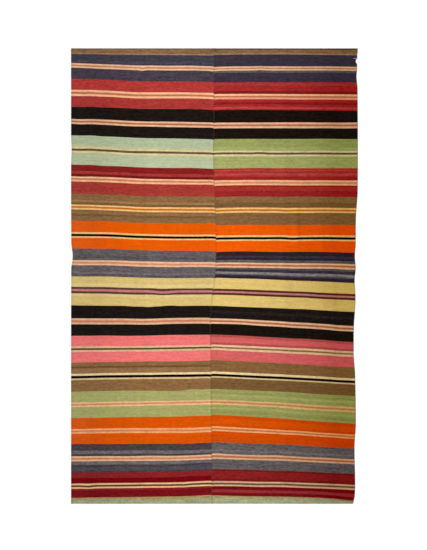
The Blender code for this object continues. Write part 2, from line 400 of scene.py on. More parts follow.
# How crookedly the wefts run: how far lower than at the seam a weft lies a quarter of the way out,
# at the crease in the middle, three quarters out and at the selvedge
Run = namedtuple("Run", "from_top quarter crease three_quarters selvedge")
QUARTERS = np.linspace(0, 1, 5)
LEFT_RUNS = (
    Run(34, -1, -3, -4, -9),
    Run(50, -3, -4, -8, -11),
    Run(120, -3, -3, -12, -21),
    Run(360, -4, -5, -14, -17),
    Run(480, -5, -8, -17, -24),
    Run(740, -4, -7, -17, -23),
    Run(870, 0, -1, -11, -18),
    Run(1060, 0, -4, -14, -17),
    Run(1230, 0, -3, -11, -13),
    Run(1420, 3, 1, -5, -8),
    Run(1530, 2, 6, 1, -2),
    Run(1570, 2, 7, 4, 3),
    Run(1750, 3, 7, 8, 9),
    Run(1850, 5, 7, 10, 16),
    Run(1930, 4, 5, 8, 12),
    Run(2020, 14, 11, 13, 19),
    Run(2100, 3, 9, 12, 16),
    Run(2180, 7, 9, 14, 17),
    Run(2260, 6, 6, 8, 12),
    Run(2380, 7, 7, 8, 9),
    Run(2500, 9, 13, 14, 17),
    Run(2650, 9, 12, 15, 18),
    Run(2666, 5, 7, 9, 11),
)
RIGHT_RUNS = (
    Run(34, -3, -3, 0, 3),
    Run(50, -4, -3, -2, 2),
    Run(120, -1, -2, -2, 1),
    Run(360, -1, 1, 2, 6),
    Run(450, -1, -1, -1, -2),
    Run(540, -1, 0, 0, 1),
    Run(620, -1, 0, 0, 0),
    Run(1000, -4, -2, -2, 0),
    Run(1130, -3, -1, -2, 0),
    Run(1200, -2, 1, 1, 6),
    Run(1290, 2, 6, 7, 14),
    Run(1360, 6, 16, 23, 32),
    Run(1530, 8, 16, 26, 37),
    Run(1620, 8, 22, 35, 49),
    Run(1700, 9, 22, 32, 47),
    Run(1780, 8, 19, 29, 40),
    Run(1850, 9, 21, 34, 46),
    Run(1930, 10, 21, 32, 43),
    Run(2020, 9, 17, 32, 44),
    Run(2100, 8, 20, 35, 48),
    Run(2170, 12, 26, 42, 57),
    Run(2330, 9, 16, 28, 41),
    Run(2500, 5, 11, 19, 29),
    Run(2580, 4, 7, 14, 24),
    Run(2650, 6, 9, 15, 32),
    Run(2666, 4, 6, 10, 18),
)

# Places where the wefts bend aside: over an ellipse, as for the rises, they are moved down by so much, or
# up where it is negative
Bend = namedtuple("Bend", "x from_top reach length down")
LEFT_BENDS = (
    Bend(-730, 550, 70, 1150, -2.4),
    Bend(-428, 130, 26, 70, 3.5),
    Bend(-305, 1440, 95, 70, 6.6),
    Bend(-150, 1440, 110, 70, -2.6),
    Bend(-265, 1520, 70, 110, -4),
    Bend(-390, 1526, 50, 60, 2.4),
    Bend(-545, 1526, 90, 60, -2.4),
    Bend(-140, 2018, 75, 60, -8),
    Bend(-750, 2578, 50, 60, 3.6),
    Bend(-180, 2578, 34, 60, 2.6),
)
RIGHT_BENDS = (
    Bend(540, 1600, 90, 1000, -1.6),
    Bend(735, 1700, 80, 800, 1.6),
    Bend(270, 122, 60, 60, -3),
    Bend(270, 626, 60, 60, -3),
    Bend(428, 960, 60, 70, 2.4),
    Bend(462, 1124, 60, 80, 2.8),
)

# Every weft dips into the seam, wanders a little, and lies straight where the hems hold it
SEAM_DIP = 2.5 * MM
SEAM_DIP_REACH = 9 * MM
WEFT_WANDER = 1.3 * MM
WEFT_LOOSE = 60 * MM

# The wear at the top of the right selvedge: a worn bite, and a short slit between two wefts
BITE_FROM_TOP = 76 * MM
BITE_LENGTH = 30 * MM
BITE_DEPTH = 8 * MM
BITE_GIVE = 40 * MM
BITE_ROWS = np.arange(60, 94, 2.5) * MM
SLIT_FROM_TOP = 57 * MM
SLIT_LENGTH = 18 * MM
SLIT_WIDTH = 4 * MM
SLIT_TIP = 0.8 * MM
SLIT_EASE = 7 * MM

# How bright and how rich the colour is across the rug, as painted shade: brightest near the middle, falling
# off most towards the right, where the painted shade is deepest and the colour is made richer, and a little
# darker and duller at the left selvedge.
Fade = namedtuple("Fade", "x bright rich")
PAINTED_LIGHT_FALLOFF = (
    Fade(-850, 0.82, 0.96),
    Fade(-700, 0.80, 0.99),
    Fade(-590, 0.86, 1.0),
    Fade(-460, 0.90, 1.0),
    Fade(-340, 0.94, 1.0),
    Fade(-100, 0.92, 1.0),
    Fade(60, 0.93, 1.0),
    Fade(250, 0.88, 1.0),
    Fade(430, 0.80, 1.02),
    Fade(600, 0.69, 1.06),
    Fade(730, 0.58, 1.12),
    Fade(850, 0.58, 1.14),
)

# Painted shade along the seam, in the groove between the two cords, with some soil there, and painted shade
# along the outer selvedges: its share of the light, and how far in it reaches
SEAM_SHADE_AND_SOIL = 0.03
SEAM_SHADE_AND_SOIL_REACH = 6 * MM
EDGE_SHADE = 0.12
EDGE_SHADE_REACH = 9 * MM

# Painted shade along each crease, on its right, where its slope turns away from the lamp, as a line about 2
# cm wide that fades out at both its ends. Its share of the light is for the middle of the line.
ShadedCrease = namedtuple("ShadedCrease", "x from_top length share")
CREASE_SHADE = (
    ShadedCrease(-419, 1350, 3600, 0.05),
    ShadedCrease(429, 1350, 3600, 0.05),
    ShadedCrease(504, 1045, 360, 0.13),
    ShadedCrease(653, 1190, 220, 0.05),
    ShadedCrease(716, 1620, 920, 0.06),
    ShadedCrease(614, 1385, 130, 0.05),
    ShadedCrease(544, 2310, 170, 0.05),
    ShadedCrease(-528, 215, 180, 0.05),
)
CREASE_SHADE_WIDTH = 9 * MM

# How much one lot of a yarn, and one patch of the cloth, differ from the next in brightness
LOT_SHADE = 0.025
PATCH_SHADE = 0.025


def through(at, stations, values):
    """A smooth line through the station values, or one through each row of them: a cubic between each two,
    level at each high and low, so that it never swings past them. Elsewhere the slope is the harmonic mean
    of its neighbours."""
    chords = np.diff(values) / np.diff(stations)
    before = np.concatenate([chords[..., :1], chords], axis=-1)
    after = np.concatenate([chords, chords[..., -1:]], axis=-1)
    same_way = before * after > 0
    slopes = np.where(same_way, 2 * before * after / np.where(same_way, before + after, 1), 0)
    k = np.clip(np.searchsorted(stations, at) - 1, 0, len(stations) - 2)
    span = stations[k + 1] - stations[k]
    t = (at - stations[k]) / span
    start = (1 + 2 * t) * (1 - t) ** 2 * values[..., k] + t * (1 - t) ** 2 * span * slopes[..., k]
    end = t**2 * (3 - 2 * t) * values[..., k + 1] + t**2 * (t - 1) * span * slopes[..., k + 1]
    return start + end


def table_line(table, at):
    """A table in mm as a smooth line: its second column, read at distances along its first."""
    rows = np.array(table) * MM
    return through(at, rows[:, 0], rows[:, 1])


def left_selvedge_x(from_top):
    return -RUG_WIDTH / 2 + table_line(LEFT_SELVEDGE, from_top)


def right_selvedge_x(from_top):
    return RUG_WIDTH / 2 - table_line(RIGHT_SELVEDGE, from_top)


def left_of_seam_x(from_top):
    return table_line(SEAM_LINE, from_top) - SEAM_GAP / 2


def right_of_seam_x(from_top):
    return table_line(SEAM_LINE, from_top) + SEAM_GAP / 2


def mound(x, from_top, place, turned=0):
    """A squared cosine over the ellipse of a rise or a bend: 1 at its middle, and 0 from its rim on."""
    angle = math.radians(turned)
    over, down = x - place.x * MM, from_top - place.from_top * MM
    across = over * math.cos(angle) + down * math.sin(angle)
    along = down * math.cos(angle) - over * math.sin(angle)
    rim = np.hypot(along / (place.length * MM / 2), across / (place.reach * MM))
    return np.cos(np.minimum(rim, 1) * math.pi / 2) ** 2


def lift(x, from_top):
    """Height of the cloth's underside: that of the tallest rise at each point."""
    height = np.zeros_like(x)
    for rise in RISES:
        height = np.maximum(height, rise.height * MM * mound(x, from_top, rise, rise.turned))
    return height


def soft_noise(x, y, cell_x, cell_y, seed):
    """Seeded noise from -1 to 1: random values on a grid of cells, eased from each to the next."""
    values = np.random.default_rng(seed).uniform(-1, 1, (97, 97))
    column, row = x / cell_x + 1000, y / cell_y + 1000
    c, r = np.floor(column).astype(int), np.floor(row).astype(int)
    over, down = column - c, row - r
    over, down = over * over * (3 - 2 * over), down * down * (3 - 2 * down)
    c, r, c_next, r_next = c % 97, r % 97, (c + 1) % 97, (r + 1) % 97
    above = values[r, c] * (1 - over) + values[r, c_next] * over
    below = values[r_next, c] * (1 - over) + values[r_next, c_next] * over
    return above * (1 - down) + below * down


def bows(runs):
    """Places down the rug, and how much lower each weft there lies at the seam, which is none, a quarter of
    the way out, at the crease, three quarters out and at the selvedge."""
    table = np.array(runs) * MM
    return table[:, 0], table * [0, 1, 1, 1, 1]


def weft_shift(runs, bends, x, share, straight):
    """How far down each point moves from a straight weft through its place at the seam. Share goes from 0
    at the seam to 1 at the selvedge, and the shift is read off the runs, first down the rug, then across."""
    places, lower = bows(runs)
    bow = through(share[0], QUARTERS, through(straight[:, 0], places, lower.T).T)

    loose = np.clip((np.minimum(straight, RUG_LENGTH - straight) - HEM_END) / WEFT_LOOSE, 0, 1)
    aside = WEFT_WANDER * soft_noise(x, straight, 130 * MM, 60 * MM, 3)
    aside = aside + SEAM_DIP * np.exp(-share * PANEL_WIDTH / SEAM_DIP_REACH)
    for bend in bends:
        aside = aside + bend.down * MM * mound(x, straight, bend)
    return bow + aside * loose


def hem_share(runs, share):
    """How wide the top and the bottom hem are at each place across, as a share of their full width: they
    are narrower where the wefts at their inner edges run nearer to the end."""
    places, lower = bows(runs)
    top, bottom = (through(share, QUARTERS, lower[row]) for row in (0, -1))
    return 1 + top / HEM_END, 1 - bottom / HEM_END


def yarn_lines(bands, lots):
    """Each stretch of one yarn down the panel at the seam, in order, as (start, end, yarn) in metres."""
    stretches = []
    ends = [band.start for band in bands[1:]] + [RUG_LENGTH / MM]
    for band, end in zip(bands, ends):
        middle, half, inner = band.stripe, band.width / 2, band.width * band.share / 2
        line = middle + band.low
        stretches += [
            (band.start, middle - half, band.above),
            (middle - half, line - inner, band.outer),
            (line - inner, line + inner, band.inner),
            (line + inner, middle + half, band.outer),
            (middle + half, end, band.below),
        ]
    stretches += [(lot.start, lot.start + lot.width, lot.yarn) for lot in lots]
    return [(start * MM, end * MM, yarn) for start, end, yarn in stretches if end > start]


def linear(hex_colour):
    """An sRGB colour as linear light: v / 12.92 up to 0.04045, and ((v + 0.055) / 1.055) ** 2.4 above."""
    srgb = np.array([int(hex_colour[k : k + 2], 16) for k in (1, 3, 5)]) / 255
    return np.where(srgb <= 0.04045, srgb / 12.92, ((srgb + 0.055) / 1.055) ** 2.4)


def mesh_piece(name, points, quads, material):
    """A closed mesh of quads as an object, with its faces turned outward: the signed volume that they
    enclose, the sum of each triangle's corners' triple product, is made positive."""
    a, b, c, d = (points[quads[:, k]] for k in range(4))
    volume = (a * np.cross(b, c)).sum() + (a * np.cross(c, d)).sum()
    quads = quads if volume > 0 else quads[:, ::-1]
    mesh = bpy.data.meshes.new(name)
    mesh.vertices.add(len(points))
    mesh.vertices.foreach_set("co", points.ravel())
    mesh.loops.add(quads.size)
    mesh.loops.foreach_set("vertex_index", quads.ravel())
    mesh.polygons.add(len(quads))
    mesh.polygons.foreach_set("loop_start", np.arange(0, quads.size, 4))
    mesh.update(calc_edges=True)
    mesh.shade_smooth()
    mesh.materials.append(material)
    piece = bpy.data.objects.new(name, mesh)
    bpy.context.scene.collection.objects.link(piece)
    return piece


def add_node(tree, kind, settings=None, values=None, links=None):
    """Adds a shader node: settings are its own properties, values go on its input sockets, and links
    join another node's output to an input."""
    node = tree.nodes.new(kind)
    for name, value in (settings or {}).items():
        setattr(node, name, value)
    for socket, value in (values or {}).items():
        node.inputs[socket].default_value = value
    for socket, source in (links or {}).items():
        tree.links.new(source, node.inputs[socket])
    return node


def rescale(tree, value, low, high, least, most):
    """Turns a value from low to high into one from least to most."""
    ends = {"From Min": low, "From Max": high, "To Min": least, "To Max": most}
    return add_node(tree, "ShaderNodeMapRange", values=ends, links={"Value": value}).outputs["Result"]


def new_material(name, roughness, specular):
    """A new material, its node tree, and its surface shader with this roughness and this much gloss."""
    material = bpy.data.materials.new(name)
    material.use_nodes = True
    shader = material.node_tree.nodes["Principled BSDF"]
    shader.inputs["Roughness"].default_value = roughness
    shader.inputs["Specular IOR Level"].default_value = specular
    return material, material.node_tree, shader


def wool_cloth():
    """Weft-faced wool: the yarn's dye from the mesh, darkened by the painted shade, soil and tone that the
    mesh carries, patchy and mottled as handspun wool takes it, and a beaded surface where each pick passes
    over a warp, with painted shade in the hollows between the beads. It is quite matt, so that dark wool
    stays dark."""
    material, tree, shader = new_material("weft_faced_wool", 0.95, 0.02)
    weave = add_node(tree, "ShaderNodeUVMap", {"uv_map": "weave"}).outputs["UV"]

    def from_mesh(name, output="Fac"):
        return add_node(tree, "ShaderNodeAttribute", {"attribute_name": name}).outputs[output]

    def combined(operation, first, second):
        both = {0: first, 1: second}
        return add_node(tree, "ShaderNodeMath", {"operation": operation}, links=both).outputs["Value"]

    def noise(scale, detail=2.0):
        """A noise over the weave, stretched by its scale in cycles a metre along and across the weft."""
        stretch = {"operation": "MULTIPLY"}
        place = add_node(tree, "ShaderNodeVectorMath", stretch, {1: (*scale, 1)}, {0: weave})
        return add_node(
            tree,
            "ShaderNodeTexNoise",
            {"noise_dimensions": "2D"},
            {"Scale": 1.0, "Detail": detail, "Roughness": 0.5},
            {"Vector": place.outputs["Vector"]},
        ).outputs["Fac"]

    # The dye took a little colder in streaks about 15 cm long and 2 cm wide
    patches = add_node(
        tree,
        "ShaderNodeMix",
        {"data_type": "RGBA"},
        {6: (1.01, 1.015, 0.985, 1), 7: (0.98, 0.965, 1.025, 1)},
        {0: rescale(tree, noise((7, 60)), 0.36, 0.66, 0.0, 1.0)},
    ).outputs[2]
    tinted = add_node(
        tree,
        "ShaderNodeVectorMath",
        {"operation": "MULTIPLY"},
        links={0: from_mesh("dye", "Color"), 1: patches},
    ).outputs["Vector"]

    # Where the painted richness is high the colour lies further from the grey of its own brightness, as
    # painted with the deepest shade towards the right, and where it is low nearer to it, as at the left
    # selvedge
    grey = add_node(tree, "ShaderNodeRGBToBW", links={"Color": tinted}).outputs["Val"]
    rich = add_node(
        tree,
        "ShaderNodeMix",
        {"data_type": "RGBA", "clamp_factor": False},
        links={0: from_mesh("painted_richness"), 6: grey, 7: tinted},
    ).outputs[2]
    dyed = add_node(
        tree,
        "ShaderNodeVectorMath",
        {"operation": "MAXIMUM"},
        {1: (0.001, 0.001, 0.001)},
        {0: rich},
    ).outputs["Vector"]

    # Mottling: shades 20 cm long and 1 cm wide, blots 8 cm long, slubs 2 cm long, and single paler hairs
    mottling = rescale(tree, noise((5, 110)), 0.3, 0.7, -0.8, 0.8)
    for scale, reach in (((12, 95), 1.6), ((42, 110), 2.1), ((70, 260), 1.5), ((170, 420), 1.6)):
        mottling = combined("ADD", mottling, rescale(tree, noise(scale), 0.3, 0.7, -reach, reach))
    shade = add_node(
        tree,
        "ShaderNodeMath",
        {"operation": "MULTIPLY_ADD"},
        {2: 1.0},
        {0: from_mesh("mottled"), 1: mottling},
    ).outputs["Value"]
    # The mesh's painted shade, seam soil and patches of tone darken the colour
    shade = combined("MULTIPLY", shade, from_mesh("painted_shade_soil_and_tone"))

    # The beads: each pick goes over every other warp, so that the pattern repeats over two warps and two
    # picks. Warps 3.3 mm apart and picks 1.2 mm apart are drawn 1.5 times coarser than they are.
    waves = [
        add_node(
            tree,
            "ShaderNodeTexWave",
            {"wave_type": "BANDS", "bands_direction": direction, "wave_profile": "SIN"},
            {"Scale": math.pi / (10 * period), "Distortion": 0.0},
            {"Vector": weave},
        ).outputs["Fac"]
        for direction, period in (("X", 10 * MM), ("Y", 3.6 * MM))
    ]
    beads = combined("MULTIPLY", *(rescale(tree, wave, 0.0, 1.0, -1.0, 1.0) for wave in waves))
    # The colour is painted darker in the hollows between the beads and lighter on their tops: painted shade
    # and highlight
    shade = combined("MULTIPLY", shade, rescale(tree, beads, -1.0, 1.0, 0.86, 1.06))
    colour = add_node(tree, "ShaderNodeVectorMath", {"operation": "SCALE"}, links={0: dyed, "Scale": shade})
    tree.links.new(colour.outputs["Vector"], shader.inputs["Base Color"])

    # The cloth's relief: the beads, and puckers about 3 cm across
    beading = add_node(
        tree,
        "ShaderNodeBump",
        values={"Strength": 0.5, "Distance": 0.5 * MM},
        links={"Height": beads},
    )
    puckered = add_node(
        tree,
        "ShaderNodeBump",
        values={"Strength": 0.6, "Distance": 2.0 * MM},
        links={"Height": noise((40, 28), 3.0), "Normal": beading.outputs["Normal"]},
    )
    tree.links.new(puckered.outputs["Normal"], shader.inputs["Normal"])
    return material


def panel(name, seam_x, selvedge_x, bands, lots, runs, bends, worn):
    """One woven panel as a closed sheet. Its middle surface runs from the inner edge of one hem, round
    the fold, down the panel, round the other fold and back, and the cloth lies half its thickness to
    each side of that surface."""
    cord = np.array(SELVEDGE_CORD) * MM
    near = cord[:, 0]
    inner = np.linspace(near[-1], PANEL_WIDTH - near[-1], round((PANEL_WIDTH - 2 * near[-1]) / ACROSS_STEP))
    from_seam = np.unique(np.concatenate([near, inner, PANEL_WIDTH - near]).round(6))
    to_edge = np.minimum(from_seam, PANEL_WIDTH - from_seam)
    thickness = np.interp(to_edge, near, cord[:, 1])
    thickness = np.where(from_seam < PRESSED_REACH, np.maximum(thickness, PRESSED_CORD), thickness)
    middle = np.interp(to_edge, near, cord[:, 2])

    # The rows: both hems, a row at each change of yarn, and plain ones between
    stretches = yarn_lines(bands, lots)
    marks = np.array([start for start, end, yarn in stretches] + [end for start, end, yarn in stretches])
    if worn:
        slit_rows = SLIT_FROM_TOP + np.array([-SLIT_TIP / 2, SLIT_TIP / 2])
        marks = np.concatenate([marks, slit_rows, BITE_ROWS])
    marks = marks[(marks > HEM_END + MM) & (marks < RUG_LENGTH - HEM_END - MM)]
    marks = np.unique(np.concatenate([[HEM_END], marks, [RUG_LENGTH - HEM_END]]).round(5))
    pieces = [
        np.linspace(start, end, math.ceil((end - start) / DOWN_STEP) + 1)[1:]
        for start, end in zip(marks[:-1], marks[1:])
    ]
    plain = np.concatenate(pieces)[:-1]
    hem = np.array(HEM_ROWS)
    inward = np.concatenate([hem[:, 0], np.full(len(plain), HEM_END), hem[::-1, 0]])
    turned = np.radians(np.concatenate([hem[:, 1], np.full(len(plain), 90), hem[::-1, 1]]))
    at_top = np.arange(len(inward)) < len(hem)
    at_end = at_top | (np.arange(len(inward)) >= len(hem) + len(plain))
    straight = np.where(at_top, inward, RUG_LENGTH - inward)
    straight[~at_end] = plain

    # The middle surface, and which way the cloth's face looks there
    share = (from_seam / PANEL_WIDTH)[None, :]
    rough_x = seam_x(straight)[:, None] * (1 - share) + selvedge_x(straight)[:, None] * share
    down = straight[:, None] + weft_shift(runs, bends, rough_x, share, straight[:, None])
    turn_radius = middle + HEM_AIR / 2
    clear = np.maximum(inward[:, None], turn_radius + thickness / 2)
    from_end = clear - turn_radius * np.cos(turned)[:, None]
    top_hem, bottom_hem = hem_share(runs, share[0])
    from_end = thickness / 2 + (from_end - thickness / 2) * np.where(at_top[:, None], top_hem, bottom_hem)
    down = np.where(at_top[:, None], from_end, np.where(at_end[:, None], RUG_LENGTH - from_end, down))
    to_selvedge = PANEL_WIDTH - from_seam
    if worn:
        beside_slit = straight[:, None] - SLIT_FROM_TOP
        parted = np.sign(beside_slit) * np.exp(-np.abs(beside_slit) / SLIT_EASE)
        down = down + (SLIT_WIDTH - SLIT_TIP) / 2 * parted * np.clip(1 - to_selvedge / SLIT_LENGTH, 0, 1)
    down = np.clip(down, 0, RUG_LENGTH)
    x = seam_x(down) * (1 - share) + selvedge_x(down) * share
    if worn:
        beside_bite = np.clip(np.abs(down - BITE_FROM_TOP) / (BITE_LENGTH / 2), 0, 1)
        x = x - BITE_DEPTH * np.sqrt(1 - beside_bite**2) * np.clip(1 - to_selvedge / BITE_GIVE, 0, 1)
    eased = np.clip((HEM_END - inward) / (HEM_END - HEM_LEVEL), 0, 1)
    eased = (eased * eased * (3 - 2 * eased))[:, None]
    z = middle + turn_radius * (1 + np.sin(turned))[:, None] * eased + lift(x, down)
    outward_y = np.where(at_top, 1, -1) * np.cos(turned)
    facing = np.stack([np.zeros(len(inward)), outward_y, np.sin(turned)], axis=1)[:, None, :]
    surface = np.stack([x, RUG_LENGTH / 2 - down, z], axis=2)
    half = facing * (thickness / 2)[None, :, None]
    rings = np.concatenate([surface + half, (surface - half)[:, ::-1]], axis=1)

    # Quads round each ring and along the panel, and across the hems' inner edges
    rows, columns = x.shape
    around = 2 * columns
    index = np.arange(rows * around).reshape(rows, around)
    index_next = np.roll(index, -1, axis=1)
    walls = np.stack([index[:-1], index_next[:-1], index_next[1:], index[1:]], axis=2)
    outer, under = index[:, :columns], index[:, columns:][:, ::-1]
    kept = np.ones(walls.shape[:2], bool)
    row_of = np.repeat(np.arange(rows - 1), around).reshape(rows - 1, around)

    def across(row, first, forward):
        a, b = outer[row, first:-1], outer[row, first + 1 :]
        c, d = under[row, first + 1 :], under[row, first:-1]
        quad = np.stack([a, b, c, d], axis=1)
        return quad if forward else quad[:, ::-1]

    extra = [(across(0, 0, False), 0), (across(rows - 1, 0, True), rows - 2)]
    if worn:
        above = int(np.argmin(np.abs(straight - slit_rows[0])))
        tip = int(np.argmin(np.abs(to_selvedge - SLIT_LENGTH)))
        kept[above, tip : around - 1 - tip] = False
        corners = [outer[above + 1, tip], outer[above, tip], under[above, tip], under[above + 1, tip]]
        extra += [
            (across(above, tip, True), above),
            (across(above + 1, tip, False), above),
            (np.array([corners]), above),
        ]
    quads = np.concatenate([walls[kept], *(quad for quad, row in extra)])
    quad_row = np.concatenate([row_of[kept], *(np.full(len(quad), row) for quad, row in extra)])
    cloth = mesh_piece(name, rings.reshape(-1, 3), quads, wool)
    mesh = cloth.data

    # Each row's yarn, and the shade of its lot. The last fold belongs to the last stretch of yarn.
    middles = np.minimum((straight[:-1] + straight[1:]) / 2, RUG_LENGTH - HEM_AIR)
    chosen = [bands[0].above] * len(middles)
    for start, end, yarn in stretches:
        for row in np.flatnonzero((middles >= start) & (middles < end)):
            chosen[row] = yarn
    lot_shade = (1 + LOT_SHADE * soft_noise(middles, middles * 0, 9 * MM, 1, 11))[:, None]
    dyed = np.array([linear(YARNS[yarn].colour) for yarn in chosen]) * lot_shade
    dyed = np.concatenate([dyed, np.ones((len(dyed), 1))], axis=1)[quad_row]
    mesh.attributes.new("dye", "FLOAT_COLOR", "FACE").data.foreach_set("color", dyed.ravel())
    mottled = np.array([YARNS[yarn].mottled for yarn in chosen])[quad_row]
    mesh.attributes.new("mottled", "FLOAT", "FACE").data.foreach_set("value", mottled)

    # How bright the colour is at each point: painted shade falling off across the rug and along the creases,
    # the seam and the selvedges, some soil at the seam, and patches of tone
    falloff = np.array(PAINTED_LIGHT_FALLOFF)
    painted_shade_soil_and_tone = through(x, falloff[:, 0] * MM, falloff[:, 1])
    uneven = 0.7 + 0.3 * soft_noise(x, down, 1, 90 * MM, 5)
    # Painted shade to the right of each crease
    for shaded_crease in CREASE_SHADE:
        beside = np.exp(-(((x - shaded_crease.x * MM) / CREASE_SHADE_WIDTH) ** 2))
        along = 1 - np.minimum(np.abs(down - shaded_crease.from_top * MM) / (shaded_crease.length * MM / 2), 1) ** 4
        painted_shade_soil_and_tone = painted_shade_soil_and_tone * (1 - shaded_crease.share * beside * along * uneven)
    # Painted shade of the seam's groove, with some soil
    painted_shade_soil_and_tone = painted_shade_soil_and_tone * (1 - SEAM_SHADE_AND_SOIL * np.exp(-((from_seam / SEAM_SHADE_AND_SOIL_REACH) ** 2)))
    # Painted shade along the outer selvedges
    painted_shade_soil_and_tone = painted_shade_soil_and_tone * (1 - EDGE_SHADE * np.exp(-((to_selvedge / EDGE_SHADE_REACH) ** 2)))
    painted_shade_soil_and_tone = painted_shade_soil_and_tone * (1 + PATCH_SHADE * soft_noise(x, down, 75 * MM, 55 * MM, 7))
    painted_richness = through(x, falloff[:, 0] * MM, falloff[:, 2])
    for attribute, values in (("painted_shade_soil_and_tone", painted_shade_soil_and_tone), ("painted_richness", painted_richness)):
        both_sides = np.concatenate([values, values[:, ::-1]], axis=1)
        mesh.attributes.new(attribute, "FLOAT", "POINT").data.foreach_set("value", both_sides.ravel())

    # Metres across from the seam and down the cloth, for the weave. In the fold, where inward is 0, the
    # cloth's own length round half the bend stands in for it.
    run = np.where(inward > 0, inward, FOLD_LENGTH / 2) * np.sin(turned)
    run = np.where(at_top, run, RUG_LENGTH - run)
    run[~at_end] = plain
    across_run = np.concatenate([from_seam, from_seam[::-1]])
    places = np.stack(np.broadcast_arrays(across_run[None, :], run[:, None]), axis=2).reshape(-1, 2)
    loops = np.empty(len(mesh.loops), dtype=np.int32)
    mesh.loops.foreach_get("vertex_index", loops)
    mesh.uv_layers.new(name="weave").data.foreach_set("uv", places[loops].ravel())
    return cloth


wool = wool_cloth()
left_cloth = panel(
    "left_panel_cloth",
    left_of_seam_x,
    left_selvedge_x,
    LEFT_BANDS,
    LEFT_LOTS,
    LEFT_RUNS,
    LEFT_BENDS,
    False,
)
right_cloth = panel(
    "right_panel_cloth",
    right_of_seam_x,
    right_selvedge_x,
    RIGHT_BANDS,
    RIGHT_LOTS,
    RIGHT_RUNS,
    RIGHT_BENDS,
    True,
)
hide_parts("left_panel")
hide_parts("right_panel")
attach(left_cloth, "root")
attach(right_cloth, "root")

# The lacing that joins the panels. A brown wool thread is whipped over the two selvedge cords, so that a
# row of short slanted stitches sits over the seam.
LACING_START = 6 * MM
LACING_END = 5 * MM
LACING_PITCH = 9 * MM
LACING_REACH = 4.5 * MM
LACING_SLANT = 2.6 * MM
LACING_RADIUS = 0.5 * MM
LACING_COLOUR = "#745d48"

# Height of a stitch over its length, above the cloth's underside: it goes down into the cloth at both
# ends, rides over the cords and sinks a little between them
LACING_ARCH = np.array([2.4, 3.3, 3.75, 3.55, 3.35, 3.55, 3.75, 3.3, 2.4]) * MM
CORD_THICKNESS = 3.3 * MM


def hem_height(from_top):
    """How much higher the cords lie over a hem: by their own thickness, eased off at its inner edge."""
    inward = np.minimum(from_top, RUG_LENGTH - from_top)
    eased = np.clip((HEM_END - inward) / (HEM_END - HEM_LEVEL), 0, 1)
    return CORD_THICKNESS * eased * eased * (3 - 2 * eased)


def plied_thread(name, colour):
    """Two-ply wool thread: matt, and painted darker and lighter along the turns of its twist, 4 mm each, as
    painted shade and highlight on the plies.
    """
    material, tree, shader = new_material(name, 0.85, 0.1)
    along = add_node(tree, "ShaderNodeUVMap", {"uv_map": "ply"}).outputs["UV"]
    twist = add_node(
        tree,
        "ShaderNodeTexWave",
        {"wave_type": "BANDS", "bands_direction": "DIAGONAL", "wave_profile": "SIN"},
        {"Scale": 0.6, "Distortion": 1.0, "Detail": 1.0},
        {"Vector": along},
    ).outputs["Fac"]
    shaded = add_node(
        tree,
        "ShaderNodeVectorMath",
        {"operation": "SCALE"},
        {0: tuple(linear(colour))},
        {"Scale": rescale(tree, twist, 0.0, 1.0, 0.7, 1.15)},
    )
    ridge = add_node(
        tree,
        "ShaderNodeBump",
        values={"Strength": 0.6, "Distance": 0.2 * MM},
        links={"Height": twist},
    )
    tree.links.new(shaded.outputs["Vector"], shader.inputs["Base Color"])
    tree.links.new(ridge.outputs["Normal"], shader.inputs["Normal"])
    return material


def threads(name, paths, radius, material):
    """Lengths of thread along the paths, an array of lengths by steps by 3. Each has a ring of six points
    at each step, square to its path, and ends rounded down to a blunt tip."""
    lengths, steps = paths.shape[:2]
    along = np.gradient(paths, axis=1)
    along = along / np.linalg.norm(along, axis=2, keepdims=True)
    beside = np.cross(along, [0, 0, 1])
    beside = beside / np.linalg.norm(beside, axis=2, keepdims=True)
    above = np.cross(beside, along)
    taper = (1 - 0.55 * np.abs(np.linspace(-1, 1, steps)) ** 6)[None, :, None, None]
    angle = (np.arange(6) * math.pi / 3)[None, None, :, None]
    ring = beside[:, :, None] * np.cos(angle) + above[:, :, None] * np.sin(angle)
    points = paths[:, :, None] + radius * taper * ring

    index = np.arange(lengths * steps * 6).reshape(lengths, steps, 6)
    turned = np.roll(index, -1, axis=2)
    sides = np.stack([index[:, :-1], turned[:, :-1], turned[:, 1:], index[:, 1:]], axis=3)
    caps = [index[:, 0][:, [3, 2, 1, 0]], index[:, 0][:, [0, 5, 4, 3]]]
    caps += [index[:, -1][:, [0, 1, 2, 3]], index[:, -1][:, [3, 4, 5, 0]]]
    piece = mesh_piece(name, points.reshape(-1, 3), np.concatenate([sides.reshape(-1, 4), *caps]), material)

    run = np.linalg.norm(np.diff(paths, axis=1, prepend=paths[:, :1]), axis=2).cumsum(axis=1) / (4 * MM)
    places = np.stack(np.broadcast_arrays(np.arange(6)[None, None, :] / 6, run[:, :, None]), axis=3)
    loops = np.empty(len(piece.data.loops), dtype=np.int32)
    piece.data.loops.foreach_get("vertex_index", loops)
    piece.data.uv_layers.new(name="ply").data.foreach_set("uv", places.reshape(-1, 2)[loops].ravel())
    return piece


hand = np.random.default_rng(21)
stitch_tops = np.arange(LACING_START, RUG_LENGTH - LACING_END, LACING_PITCH)
stitch_tops = stitch_tops + hand.uniform(-1.2, 1.2, len(stitch_tops)) * MM
slants = LACING_SLANT * hand.uniform(0.6, 1.3, len(stitch_tops))
across_seam = np.linspace(-1, 1, len(LACING_ARCH))[None, :]
laced_down = stitch_tops[:, None] + slants[:, None] * across_seam
laced_x = table_line(SEAM_LINE, laced_down) + LACING_REACH * across_seam
laced_z = LACING_ARCH[None, :] + hem_height(laced_down) + lift(laced_x, laced_down)
lacing = threads(
    "seam_lacing",
    np.stack([laced_x, RUG_LENGTH / 2 - laced_down, laced_z], axis=2),
    LACING_RADIUS,
    plied_thread("brown_lacing_wool", LACING_COLOUR),
)
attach(lacing, "root")

